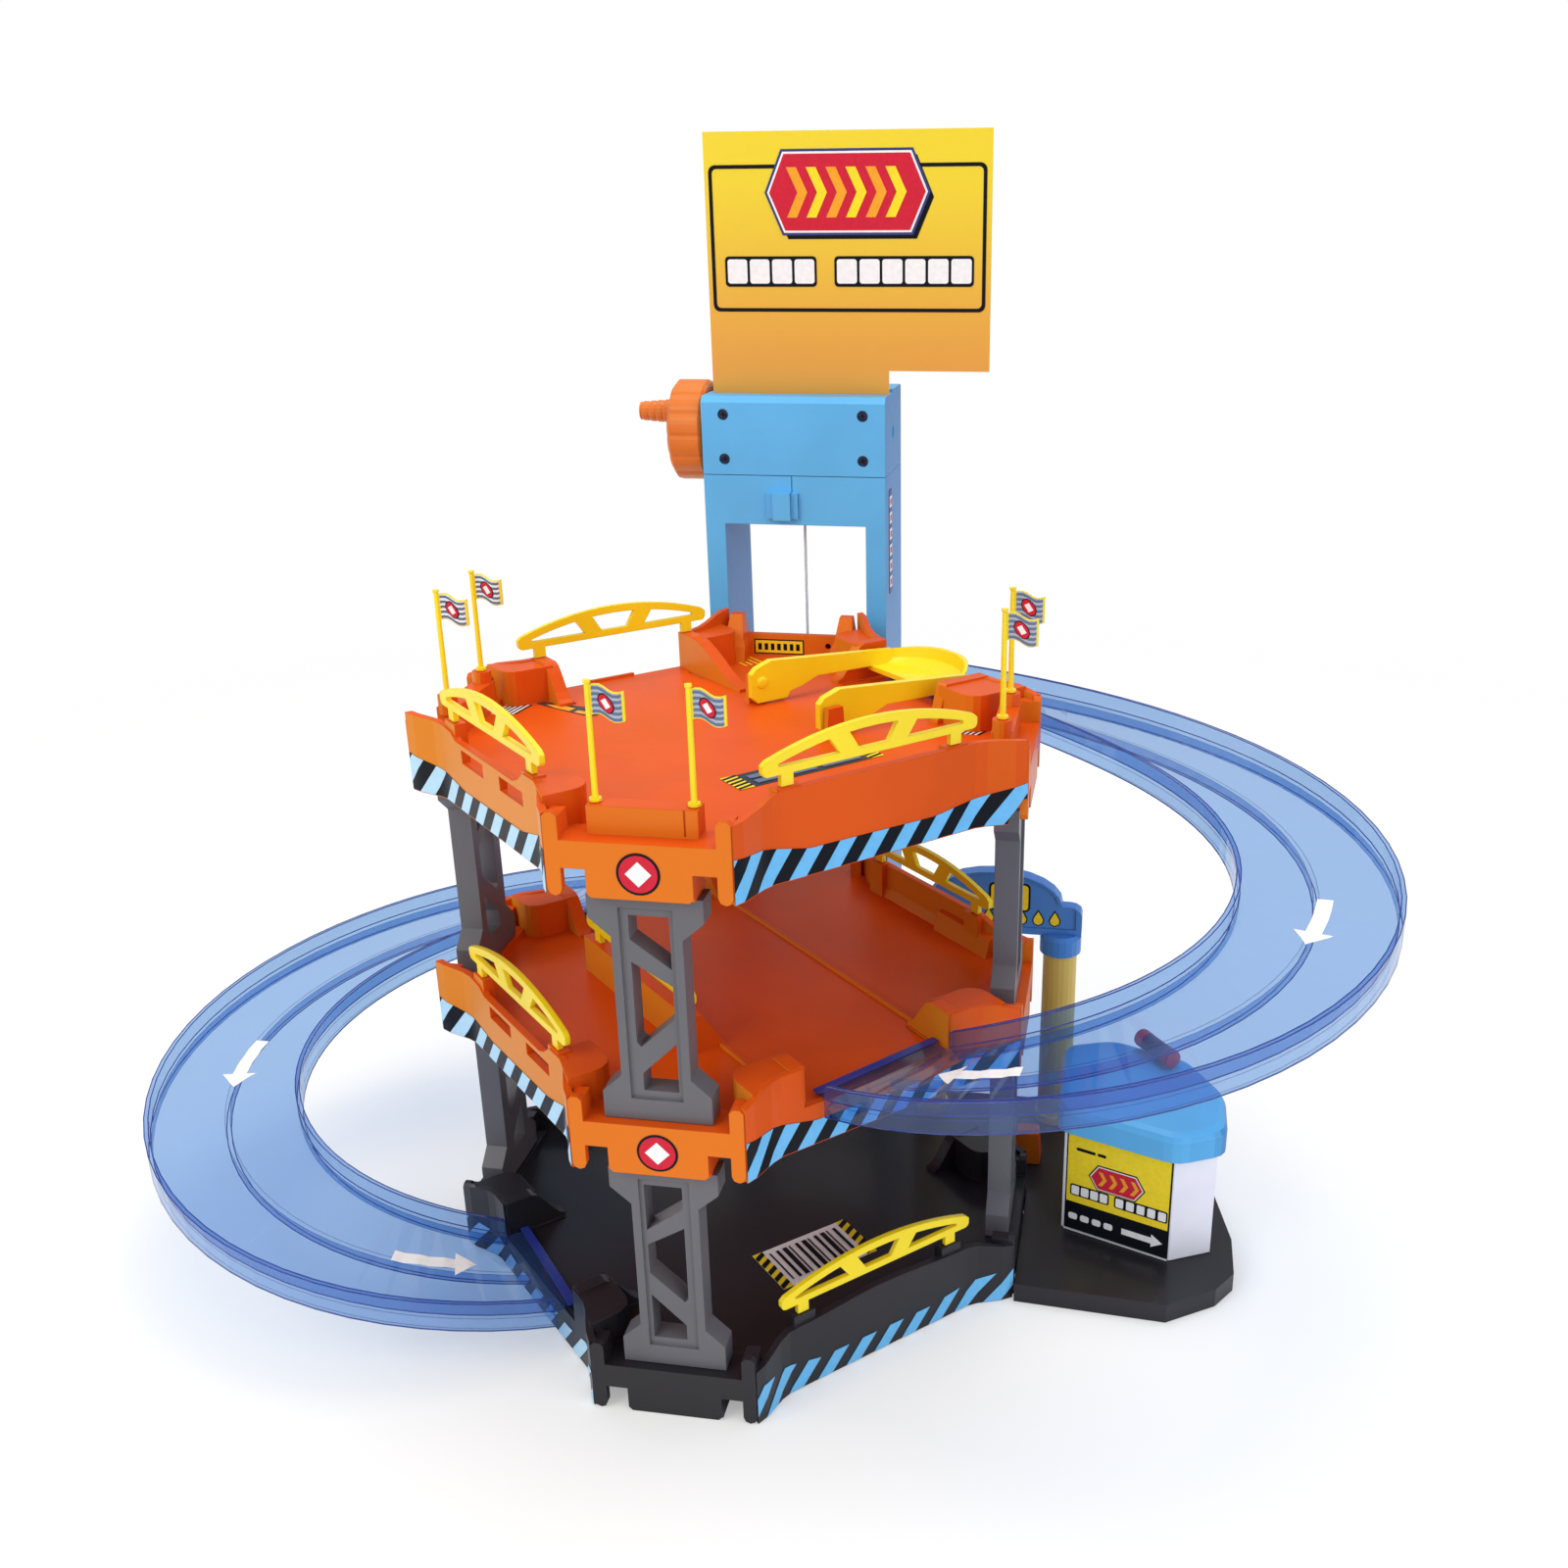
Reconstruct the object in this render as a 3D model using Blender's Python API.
"""Three-level toy parking garage with a cranked lift tower, two spiral tracks and a forecourt.

Units are metres, Z is up and the floor is z = 0. The origin is the centre of the octagonal decks,
the front short side faces -Y. Every piece is one closed mesh object under its own name.
"""

import math
from dataclasses import dataclass

import bmesh
import bpy
from mathutils import Matrix, Vector

# Fits between pieces.
TOUCH = 0.0003
RUNNING_GAP = 0.001

# Octagonal decks: four short sides square to the axes, four long sides at 45 degrees.
SHORT_HALF = 0.033
SHORT_OUT = 0.125
LEVEL_PITCH = 0.111
DIAGONAL = math.sqrt(0.5)
CORNER_OUT = (SHORT_OUT + SHORT_HALF) * DIAGONAL
LONG_HALF = (SHORT_OUT - SHORT_HALF) * DIAGONAL
LONG_SINK = 0.007
LONG_OUT = CORNER_OUT - LONG_SINK
FLARE_LENGTH = 0.021
WALL_TUCK = 0.0006
WALL = 0.003
FLOOR_TOP = 0.018
FLOOR_THICK = 0.003
FLOOR_LOW = FLOOR_TOP - FLOOR_THICK
FLOOR_MIDDLE = FLOOR_TOP - FLOOR_THICK / 2
SILL_DROP = 0.0005
SILL_WING = 0.006
RIB_WIDTH = 0.002
RIB_DROP = 0.009
RIB_PLACE = 0.040

# Short sides: front plate with two ears, a socket box below and a ledge that carries a post.
EAR_WIDTH = 0.0054
EAR_DEPTH = 0.010
EAR_TOP = 0.0308
PLATE_HALF = 0.019
PLATE_TOP = 0.0208
NOTCH_TOP = 0.0105
SOCKET_DEPTH = 0.0155
BLOCK_HALF = 0.0198
BLOCK_TOP = 0.031
BLOCK_FRONT = 0.0075
BLOCK_DEPTH = 0.0085
BLOCK_SEAM_PLACE = 0.0150
BLOCK_SEAM_WIDTH = 0.0006
BLOCK_SEAM_DEPTH = 0.0006
FLAG_BOSS_TOP = 0.036
FLAG_BOSS_RADIUS = 0.004
FLAG_SPREAD = 0.0175
LUG_TOP = 0.0385
LUG_LENGTH = 0.018
LUG_WIDTH = 0.0120
LUG_TOP_WIDTH = 0.0060
LUG_TOP_LENGTH = 0.0050
LUG_WAIST = 0.0280
FIN_TOP = 0.0400
STOP_WALL_TOP = 0.0284
STOP_HOLE_RADIUS = 0.0014
STOP_HOLE_PLACE = 0.017

# Long sides: railings, track bays and parapets.
RAIL_FOOT_SPREAD = 0.0735
RAIL_SEAT = 0.0345
RIM_STEP = 0.0004
RIM_SEAT = RAIL_SEAT - RIM_STEP
CHEEK_WIDTH = 0.006
CHEEK_LENGTH = 0.027
CHEEK_LEVEL = 0.012
SWEEP_LENGTH = 0.055
CORNER_BLOCK_DEPTH = 0.016
CORNER_BLOCK_END = 0.059
DEEP_CORNER = 0.025
LANE_RIDGE_HEIGHT = 0.0015
LANE_RIDGE_WIDTH = 0.003
SLOT_LOW = 0.021
SLOT_HIGH = 0.0265
SLOT_LENGTH = 0.021
HOOK_SLOT_WIDTH = 0.0012
HOOK_SLOT_LENGTH = 0.014
HOOK_SLOT_IN = 0.013
HOOK_SLOT_GAP = 0.0016
SKIRT_NOTCH_START = 0.0575
SKIRT_NOTCH_TOP = 0.0095
EDGE_LIP_START = -0.013
EDGE_LIP_END = 0.009
EDGE_LIP_RISE = 0.0012
LEDGE_WIDE = 0.0085
LEDGE_NARROW = 0.0060
LEDGE_HIGH = 0.0100
LEDGE_LOW = 0.0060
LEDGE_START = -0.050
LEDGE_STEP = -0.012
LEDGE_END = 0.034

# Lattice posts.
POST_FRONT = 0.004
POST_DEPTH = 0.010
POST_TOP_HALF = 0.021
POST_FOOT_HALF = 0.0205
POST_WAIST_HALF = 0.013
POST_FOOT_HEIGHT = 0.011
POST_FLARE = 0.007
POST_HEAD_HEIGHT = 0.009
POST_RIM = 0.0032
POST_PANEL_DROP = 0.0012
POST_WINDOW_LOW = 0.0118
POST_WINDOW_TOP_GAP = 0.0078
POST_WINDOW_STEP = 0.0015
TENON_HALF = 0.012
TENON_HEIGHT = 0.008
TENON_DEPTH = 0.0055

# Railings, arched trusses on two feet.
RAIL_LENGTH = 0.0935
RAIL_THICK = 0.0022
RAIL_FOOT_HEIGHT = 0.0045
RAIL_FOOT_WIDTH = 0.005
RAIL_BEAM = 0.0029
RAIL_ARCH = 0.0033
RAIL_END_HEIGHT = 0.0052
RAIL_END_ROUND = 0.0018
RAIL_RISE = 0.0083
RAIL_STRUT = 0.0042
RAIL_STRUT_LEAN = 0.0042
RAIL_STRUT_PLACE = 0.0105
INNER_RAIL_OUT = 0.048

# Flags on poles.
POLE_RADIUS = 0.0012
POLE_TOP_RADIUS = 0.0010
POLE_HEIGHT = 0.043
POLE_FOOT_RADIUS = 0.0023
POLE_FOOT_HEIGHT = 0.0012
FLAG_WIDTH = 0.0125
FLAG_HEIGHT = 0.0105
FLAG_THICK = 0.0009
FLAG_WAVE = 0.0009

# Spiral tracks: an H-shaped channel with a rib below its middle.
TRACK_STANDOFF = 0.0167
TRACK_CENTRE = SHORT_OUT + TRACK_STANDOFF
TRACK_INNER = 0.0671
TRACK_OUTER = 0.1281
TRACK_RIB = 0.0969
TRACK_WALL = 0.0020
TRACK_FLOOR = 0.0018
TRACK_LIP = 0.0066
TRACK_TURN = math.radians(261.2)
TRACK_STEPS = 44
TRACK_BULGE = 0.5
TRACK_TONGUE = 0.0105
TONGUE_THICK = 0.0022
TONGUE_INSET = 0.0020

# Lift tower behind the back short side.
TOWER_FRONT = 0.1326
TOWER_DEPTH = 0.048
TOWER_HALF = 0.0435
TOWER_INNER = 0.034
TOWER_SKIN = 0.002
TOWER_SPLIT = 2 * LEVEL_PITCH
HOUSING_LOW = 0.324
CROSSBAR_HEIGHT = 0.023
CROSSBAR_LOW = HOUSING_LOW - CROSSBAR_HEIGHT
HOUSING_HEIGHT = 0.036
HOUSING_TOP = HOUSING_LOW + HOUSING_HEIGHT
HOUSING_CHAMFER = 0.0028
HOUSING_BACK_RISE = 0.0015
TIE_HEIGHT = 0.008
TIE_DEPTH = 0.005
LATCH_WIDTH = 0.015
LATCH_HEIGHT = 0.013
LATCH_DEPTH = 0.004
LATCH_BASE_DEPTH = 0.0018
LATCH_NOSE_WIDTH = 0.0085
LATCH_PLACE = -0.0055
LATCH_RISE = 0.0025
SEAM_WIDTH = 0.0005
SCREW_SPREAD = 0.066
SCREW_RISE = 0.0102
SCREW_RECESS_RADIUS = 0.0026
SCREW_RECESS_DEPTH = 0.0012

# Winch: drum, shaft, crank wheel and handle. The string leaves the front of the drum.
WINCH_RISE = 0.0175
WINCH_HEIGHT = HOUSING_LOW + WINCH_RISE
DRUM_RADIUS = 0.008
DRUM_FLANGE = 0.012
DRUM_HALF = 0.007
FLANGE_THICK = 0.0018
SHAFT_RADIUS = 0.003
KNOB_RADIUS = 0.0235
KNOB_WIDTH = 0.0168
KNOB_LOBES = 14
KNOB_LOBE_DEPTH = 0.0008
HANDLE_LENGTH = 0.0182
HANDLE_BASE_RADIUS = 0.0058
HANDLE_TIP_RADIUS = 0.0043
HANDLE_RINGS = 5
PEG_RADIUS = 0.003
PEG_LENGTH = 0.0055
HANDLE_THROW = 0.0085
STRING_RADIUS = 0.0007
CAGE_FLOOR = 0.003
CAGE_SKIN = 0.002
CAGE_HEIGHT = 0.058
CAGE_REST = 0.0135

# Sign card in the top of the tower.
CARD_THICK = 0.0012
CARD_LEFT = 0.041
CARD_RIGHT = 0.0895
CARD_STEM = 0.043
CARD_RISE = 0.113
CARD_STEP_RISE = 0.0105
CARD_TOP = HOUSING_TOP + CARD_RISE
CARD_STEP = HOUSING_TOP + CARD_STEP_RISE
CARD_TUCK = 0.007
CARD_FROM_FRONT = 0.0155

# Swinging gate at the top of the right track.
GATE_INNER_OUT = 0.033
GATE_REACH = 0.070
GATE_NEAR = 0.0235
GATE_FAR = 0.0295
GATE_ARM_THICK = 0.0035
GATE_ARM_HEIGHT = 0.0180
GATE_TIP_HEIGHT = 0.0125
GATE_UNDERSIDE = 0.0040
GATE_FOOT_LENGTH = 0.0125
GATE_SCOOP_BULGE = 0.0150
GATE_SCOOP_RISE = 0.0022
GATE_SCOOP_BED = 0.0120
GATE_SCOOP_THICK = 0.0022
GATE_PIN_RADIUS = 0.0016
GATE_LIFT = 0.001

# Forecourt with booth and car wash.
PLATE_SKIN = 0.0025
PLATE_HEIGHT = 0.009
BOOTH_LOW = PLATE_HEIGHT + TOUCH
BOOTH_TOP = 0.061
BOOTH_SKIN = 0.002
ROOF_SKIRT = 0.0095
ROOF_HEIGHT = 0.013
ROOF_OVERHANG = 0.0035
ROOF_INSET = 0.0042
ROOF_CORNER = 0.006
LAMP_RADIUS = 0.0042
LAMP_LENGTH = 0.024
LAMP_LIFT = 0.001
LAMP_SPOT = (0.057, 0.052)
KERB_LENGTH = 0.013
KERB_WIDTH = 0.011
KERB_HEIGHT = 0.017
KERB_TAPER = 0.0012
KERB_SPOT = (-0.0015, 0.0605)
WASH_CENTRE = 0.102
WASH_BACK = 0.100
WASH_SPREAD = 0.064
COLUMN_RADIUS = 0.0085
COLUMN_TOP = 0.103
WASH_SIGN_THICK = 0.008
WASH_SIGN_TOP = 0.144
WASH_CAPITAL = 0.009
WASH_SHOULDER = 0.020


@dataclass(frozen=True)
class Side:
    """A long side, with its outward and along directions seen from the deck's centre."""

    outward: Vector
    along: Vector

    def at(self, along, out, height=0.0):
        spot = self.outward * out + self.along * along
        return Vector((spot.x, spot.y, height))


FRONT_RIGHT = Side(Vector((DIAGONAL, -DIAGONAL)), Vector((DIAGONAL, DIAGONAL)))
FRONT_LEFT = Side(Vector((-DIAGONAL, -DIAGONAL)), Vector((-DIAGONAL, DIAGONAL)))
BACK_RIGHT = Side(Vector((DIAGONAL, DIAGONAL)), Vector((-DIAGONAL, DIAGONAL)))
BACK_LEFT = Side(Vector((-DIAGONAL, DIAGONAL)), Vector((DIAGONAL, DIAGONAL)))
SIDES = (FRONT_RIGHT, BACK_RIGHT, BACK_LEFT, FRONT_LEFT)
FRONT, RIGHT, BACK, LEFT = range(4)


def clear_scene():
    for thing in list(bpy.data.objects):
        bpy.data.objects.remove(thing, do_unlink=True)


def finish(name, colour, roughness, metallic=0.0, alpha=1.0):
    material = bpy.data.materials.new(name)
    material.use_nodes = True
    shader = material.node_tree.nodes["Principled BSDF"]
    shader.inputs["Base Color"].default_value = (*colour, 1.0)
    shader.inputs["Roughness"].default_value = roughness
    shader.inputs["Metallic"].default_value = metallic
    shader.inputs["Alpha"].default_value = alpha
    material.diffuse_color = (*colour, alpha)
    return material


def add_object(name, bm, material=None):
    """Turns the bmesh into an object whose faces point outward."""
    bmesh.ops.remove_doubles(bm, verts=bm.verts, dist=1e-6)
    bmesh.ops.recalc_face_normals(bm, faces=bm.faces)
    mesh = bpy.data.meshes.new(name)
    bm.to_mesh(mesh)
    bm.free()
    if material is not None:
        mesh.materials.append(material)
    thing = bpy.data.objects.new(name, mesh)
    bpy.context.scene.collection.objects.link(thing)
    return thing


def smooth(thing, angle=35.0):
    thing.data.shade_smooth()
    thing.data.set_sharp_from_angle(angle=math.radians(angle))
    return thing


def loft(rings, ring_closed=False):
    """A solid through rings of matching points, capped at both ends or joined into a loop."""
    bm = bmesh.new()
    made = [[bm.verts.new(point) for point in ring] for ring in rings]
    count = len(made[0])
    pairs = list(zip(made, made[1:]))
    if ring_closed:
        pairs.append((made[-1], made[0]))
    for first, second in pairs:
        for i in range(count):
            j = (i + 1) % count
            bm.faces.new((first[i], first[j], second[j], second[i]))
    if not ring_closed:
        bm.faces.new(made[0])
        bm.faces.new(made[-1])
    return bm


def prism(outline, low, high, place=Matrix()):
    """An outline in X and Y, drawn out from low to high along Z and then placed."""
    rings = [[place @ Vector((x, y, z)) for x, y in outline] for z in (low, high)]
    return loft(rings)


UPRIGHT = Matrix(((1, 0, 0, 0), (0, 0, -1, 0), (0, 1, 0, 0), (0, 0, 0, 1)))
QUARTER_TURN = Matrix(((0, -1, 0, 0), (1, 0, 0, 0), (0, 0, 1, 0), (0, 0, 0, 1)))


def block(low, high, place=Matrix()):
    outline = ((low[0], low[1]), (high[0], low[1]), (high[0], high[1]), (low[0], high[1]))
    return prism(outline, low[2], high[2], place)


def turned(profile, steps, place=Matrix()):
    """A solid of revolution about Z through (radius, height) points from one end to the other."""
    rings = []
    for radius, height in profile:
        turns = [2 * math.pi * k / steps for k in range(steps)]
        rings.append([place @ Vector((radius * math.cos(a), radius * math.sin(a), height)) for a in turns])
    return loft(rings)


def rod(start, end, radius, steps=12):
    axis = Vector(end) - Vector(start)
    place = Matrix.Translation(Vector(start)) @ axis.to_track_quat("Z", "Y").to_matrix().to_4x4()
    return turned(((radius, 0.0), (radius, axis.length)), steps, place)


def combine(target, operation, meshes):
    """Joins or cuts with each bmesh in turn and keeps the result in the target's mesh."""
    for bm in meshes:
        tool = add_object("tool", bm)
        step = target.modifiers.new(operation.lower(), "BOOLEAN")
        step.operation = operation
        step.solver = "EXACT"
        step.object = tool
        graph = bpy.context.evaluated_depsgraph_get()
        result = bpy.data.meshes.new_from_object(target.evaluated_get(graph))
        target.modifiers.clear()
        old = target.data
        target.data = result
        bpy.data.meshes.remove(old)
        bpy.data.objects.remove(tool, do_unlink=True)
    target.data.name = target.name
    return target


def fuse(target, *meshes):
    return combine(target, "UNION", meshes)


def cut(target, *meshes):
    return combine(target, "DIFFERENCE", meshes)


def ease(share):
    share = min(max(share, 0.0), 1.0)
    return share * share * (3 - 2 * share)


def eased_height(profile, along):
    """Height of a rim given as (along, height) points joined by smooth S-shaped stretches."""
    for (start, low), (end, high) in zip(profile, profile[1:]):
        if along <= end:
            return low + (high - low) * ease((along - start) / (end - start))
    return profile[-1][1]


def wall_out(along):
    """How far the wall's outer face lies from the centre: straight, with flared ends."""
    flare = ease((abs(along) - (LONG_HALF - FLARE_LENGTH)) / FLARE_LENGTH)
    return LONG_OUT + (CORNER_OUT - LONG_OUT) * flare


def stations(start, end, count):
    return [start + (end - start) * k / count for k in range(count + 1)]


def rim_points(profile, count):
    """Places along a wall, just short of the ears, with the rim's height at each."""
    end = LONG_HALF - WALL_TUCK
    return [(along, eased_height(profile, along)) for along in stations(-end, end, count)]


def bay_rim_points(front, back):
    """Rim of a side with a bay: full height at the corners, a low sill between the lane walls."""
    edge = RAIL_FOOT_SPREAD / 2 - CHEEK_WIDTH / 4
    end = LONG_HALF - WALL_TUCK
    sill = FLOOR_TOP - SILL_DROP
    near, far = ([(along, eased_height(corner.rim, along)) for along in stations(edge, end, 6)] for corner in (front, back))
    middle = [(along, sill) for along in stations(-edge + SILL_DROP, edge - SILL_DROP, 2)]
    return [(-along, height) for along, height in reversed(near)] + middle + far


def wall_strip(side, low, rim):
    """A wall along a long side, up from a level base to the rim's points."""
    rings = []
    for along, high in rim:
        out = wall_out(along)
        rings.append([side.at(along, out, low), side.at(along, out, high),
                      side.at(along, out - WALL, high), side.at(along, out - WALL, low)])
    return loft(rings)


def side_prism(side, outline, low, high):
    """An outline in along and out directions of a long side, drawn up from low to high."""
    return loft([[side.at(along, out, z) for along, out in outline] for z in (low, high)])


def side_slice(side, outline, start, end):
    """An outline in out and height directions of a long side, drawn along it."""
    return loft([[side.at(along, out, z) for out, z in outline] for along in (start, end)])


def deck_floor_outline():
    """Plan of the floor, anticlockwise, ending inside the thickness of the walls."""
    inside = WALL / 2
    end = LONG_HALF - inside
    points = []
    for side in SIDES:
        run = stations(-end, end, 12)
        if side in (BACK_LEFT, FRONT_LEFT):
            run.reverse()
        points += [side.at(along, wall_out(along) - inside).xy for along in run]
    return points


def short_place(turn):
    """Places a short side drawn with X along it and Y running inward from its outer face."""
    place = Matrix.Translation((0.0, -SHORT_OUT, 0.0))
    for _ in range(turn):
        place = QUARTER_TURN @ place
    return place


def plate_outline():
    """Front plate with its two ears, the notches beside the socket box and rounded ear feet."""
    ear = SHORT_HALF - EAR_WIDTH
    foot = EAR_WIDTH / 2
    chamfer = 0.0015
    right = [(PLATE_HALF - chamfer, 0.0), (PLATE_HALF, chamfer), (PLATE_HALF, NOTCH_TOP), (ear, NOTCH_TOP)]
    for k in range(5):
        angle = math.pi + math.pi * k / 4
        right.append((ear + foot + foot * math.cos(angle), foot + foot * math.sin(angle)))
    right += [(SHORT_HALF, EAR_TOP - chamfer), (SHORT_HALF - chamfer, EAR_TOP),
              (ear + chamfer, EAR_TOP), (ear, EAR_TOP - chamfer), (ear, PLATE_TOP)]
    left = [(-x, z) for x, z in reversed(right)]
    return right + left


def short_side(turn):
    """The pieces of a closed short side: plate, ears, socket box and ledge."""
    place = short_place(turn)
    upright = place @ UPRIGHT
    ear = SHORT_HALF - EAR_WIDTH
    parts = [prism(plate_outline(), -WALL, 0.0, upright)]
    for sign in (-1, 1):
        near, far = sorted((sign * ear, sign * SHORT_HALF))
        parts.append(block((near, WALL / 2, NOTCH_TOP), (far, EAR_DEPTH, EAR_TOP - WALL / 2), place))
        near, far = sorted((sign * (PLATE_HALF - WALL), sign * PLATE_HALF))
        parts.append(block((near, WALL / 2, 0.0), (far, SOCKET_DEPTH, FLOOR_MIDDLE), place))
    parts.append(block((-PLATE_HALF, WALL / 2, 0.0), (PLATE_HALF, SOCKET_DEPTH, WALL), place))
    parts.append(block((-ear - WALL / 2, WALL / 2, FLOOR_MIDDLE), (ear + WALL / 2, SOCKET_DEPTH, PLATE_TOP), place))
    return parts


def tenon(turn):
    middle = POST_FRONT + POST_DEPTH / 2
    low = (-TENON_HALF, middle - TENON_DEPTH / 2, FLOOR_MIDDLE)
    high = (TENON_HALF, middle + TENON_DEPTH / 2, PLATE_TOP + TENON_HEIGHT)
    return block(low, high, short_place(turn))


def flag_block(turn, raised):
    """The upright block that carries two flags, with bosses where they stand higher."""
    place = short_place(turn)
    back = BLOCK_FRONT + BLOCK_DEPTH
    parts = [block((-BLOCK_HALF, BLOCK_FRONT, FLOOR_MIDDLE), (BLOCK_HALF, back, BLOCK_TOP), place)]
    if raised:
        for sign in (-1, 1):
            centre = place @ Vector((sign * FLAG_SPREAD, BLOCK_FRONT + BLOCK_DEPTH / 2, BLOCK_TOP - WALL))
            top = centre + Vector((0, 0, FLAG_BOSS_TOP - BLOCK_TOP + WALL))
            parts.append(rod(centre, top, FLAG_BOSS_RADIUS, 14))
    return parts


def block_seam():
    """The cutter for the upright seam line near the right end of the front block."""
    half = BLOCK_SEAM_WIDTH / 2
    low = (BLOCK_SEAM_PLACE - half, BLOCK_FRONT - BLOCK_SEAM_DEPTH, PLATE_TOP + BLOCK_SEAM_DEPTH)
    high = (BLOCK_SEAM_PLACE + half, BLOCK_FRONT + BLOCK_SEAM_DEPTH, BLOCK_TOP + BLOCK_SEAM_DEPTH)
    return block(low, high, short_place(FRONT))


def back_sill():
    """The floor's tongue between the back ears, with wings that meet the tower's legs."""
    end = TOWER_FRONT - SHORT_OUT - TOUCH
    low = FLOOR_LOW + SILL_DROP
    top = FLOOR_TOP - SILL_DROP
    place = short_place(BACK)
    wing = TOWER_INNER + SILL_WING
    return [block((-SHORT_HALF + SILL_DROP, -end, low), (SHORT_HALF - SILL_DROP, SOCKET_DEPTH, top), place),
            block((-wing, -end, low + SILL_DROP), (wing, SILL_DROP, top - SILL_DROP), place)]


def open_back():
    """An open short side: two ears and a socket box, with no ledge in the lift's way."""
    place = short_place(BACK)
    ear = SHORT_HALF - EAR_WIDTH
    parts = [block((-SHORT_HALF, 0.0, 0.0), (SHORT_HALF, WALL, FLOOR_MIDDLE), place)]
    for sign in (-1, 1):
        near, far = sorted((sign * ear, sign * SHORT_HALF))
        parts.append(block((near, 0.0, 0.0), (far, EAR_DEPTH, EAR_TOP), place))
    return parts


def cheek(side, along, corner):
    """A lane wall that stands full height at the deck's edge and falls away inward."""
    drop = RAIL_SEAT - FLOOR_TOP
    outer = LONG_OUT - WALL / 3
    outline = [(outer, FLOOR_MIDDLE), (outer, RAIL_SEAT), (outer - corner.level, RAIL_SEAT)]
    for share in stations(1 / 6, 1.0, 5):
        out = outer - corner.level - (corner.length - corner.level) * share
        outline.append((out, RAIL_SEAT - (drop - LANE_RIDGE_HEIGHT) * ease(share)))
    outline.append((outer - corner.length, FLOOR_MIDDLE))
    return side_slice(side, outline, along - CHEEK_WIDTH / 2, along + CHEEK_WIDTH / 2)


def corner_outline(sign, depth=CORNER_BLOCK_DEPTH, shrink=0.0):
    """Plan of the thick corner between a lane wall and the ear, as along and out values."""
    start = RAIL_FOOT_SPREAD / 2 + shrink
    end = CORNER_BLOCK_END - shrink
    inner = LONG_OUT - depth + shrink
    round_radius = 0.008
    points = [(start, LONG_OUT - 0.7 * WALL - shrink), (start, inner)]
    for k in range(5):
        angle = -math.pi / 2 + math.pi / 2 * k / 4
        points.append((end - round_radius + round_radius * math.cos(angle),
                       inner + round_radius + round_radius * math.sin(angle)))
    points.append((end, wall_out(end) - 0.7 * WALL - shrink))
    return [(sign * along, out) for along, out in points]


CLOSED_RIM = ((-LONG_HALF, 0.0290), (-0.052, 0.0300), (-0.040, RIM_SEAT), (0.040, RIM_SEAT),
              (0.055, 0.0340), (LONG_HALF, 0.0330))
ARCH_RIM = ((-LONG_HALF, 0.0245), (-0.040, 0.0300), (0.0, RAIL_SEAT - 0.0020), (0.046, 0.0300),
            (LONG_HALF, 0.0270))
SLOTTED_RIM = ((-LONG_HALF, 0.0300), (-0.050, 0.0330), (-0.044, RIM_SEAT), (-0.034, RIM_SEAT),
               (-0.027, 0.0285), (0.030, 0.0285), (0.036, RAIL_SEAT - 0.0030), (LONG_HALF, 0.0330))
CORNER_RIM = ((0.052, RIM_SEAT), (LONG_HALF, EAR_TOP))
FIN_RIM = ((RAIL_FOOT_SPREAD / 2, RIM_SEAT), (LONG_HALF, FIN_TOP))


@dataclass(frozen=True)
class Corner:
    """One end of a bay: the lane wall's level part and length, the thick corner's depth and the rim."""

    level: float = CHEEK_LEVEL
    length: float = CHEEK_LENGTH
    depth: float = CORNER_BLOCK_DEPTH
    rim: tuple = CORNER_RIM


def rail_feet_pads(side):
    """Small pads that bring a rim up to the railing's seat."""
    pads = []
    for sign in (-1, 1):
        along = sign * RAIL_FOOT_SPREAD / 2
        half = RAIL_FOOT_WIDTH
        outline = ((along - half, LONG_OUT - WALL / 3), (along + half, LONG_OUT - WALL / 3),
                   (along + half, LONG_OUT - 2 * WALL), (along - half, LONG_OUT - 2 * WALL))
        pads.append(side_prism(side, outline, FLOOR_MIDDLE, RAIL_SEAT))
    return pads


def closed_side(deck, side, rim):
    """A wall from end to end, its rim following the given profile."""
    fuse(deck, wall_strip(side, 0.0, rim_points(rim, 26)))
    fuse(deck, *rail_feet_pads(side))


def thick_corner(deck, side, sign, depth):
    """The rounded thick corner at one end of a side, hollow from below."""
    fuse(deck, side_prism(side, corner_outline(sign, depth), FLOOR_MIDDLE, RIM_SEAT - RIM_STEP))
    cut(deck, side_prism(side, corner_outline(sign, depth, WALL), FLOOR_LOW - WALL, RIM_SEAT - WALL))


def slotted_side(deck, side):
    """A wall with two slots and a thick rounded corner beside the front ear."""
    closed_side(deck, side, SLOTTED_RIM)
    thick_corner(deck, side, -1, CORNER_BLOCK_DEPTH)
    for centre in (-0.0225, 0.0140):
        outline = ((LONG_OUT - 3 * WALL, SLOT_LOW), (LONG_OUT + WALL, SLOT_LOW),
                   (LONG_OUT + WALL, SLOT_HIGH), (LONG_OUT - 3 * WALL, SLOT_HIGH))
        cut(deck, side_slice(side, outline, centre - SLOT_LENGTH / 2, centre + SLOT_LENGTH / 2))


def hook_slot(side, sign):
    """The cutter for the narrow slot in the floor beside a lane wall."""
    centre = sign * (RAIL_FOOT_SPREAD / 2 - CHEEK_WIDTH / 2 - HOOK_SLOT_GAP)
    half = HOOK_SLOT_WIDTH / 2
    outer = LONG_OUT - HOOK_SLOT_IN
    inner = outer - HOOK_SLOT_LENGTH
    outline = ((centre - half, inner), (centre + half, inner), (centre + half, outer), (centre - half, outer))
    return side_prism(side, outline, FLOOR_LOW - SILL_DROP, FLOOR_TOP + SILL_DROP)


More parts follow.
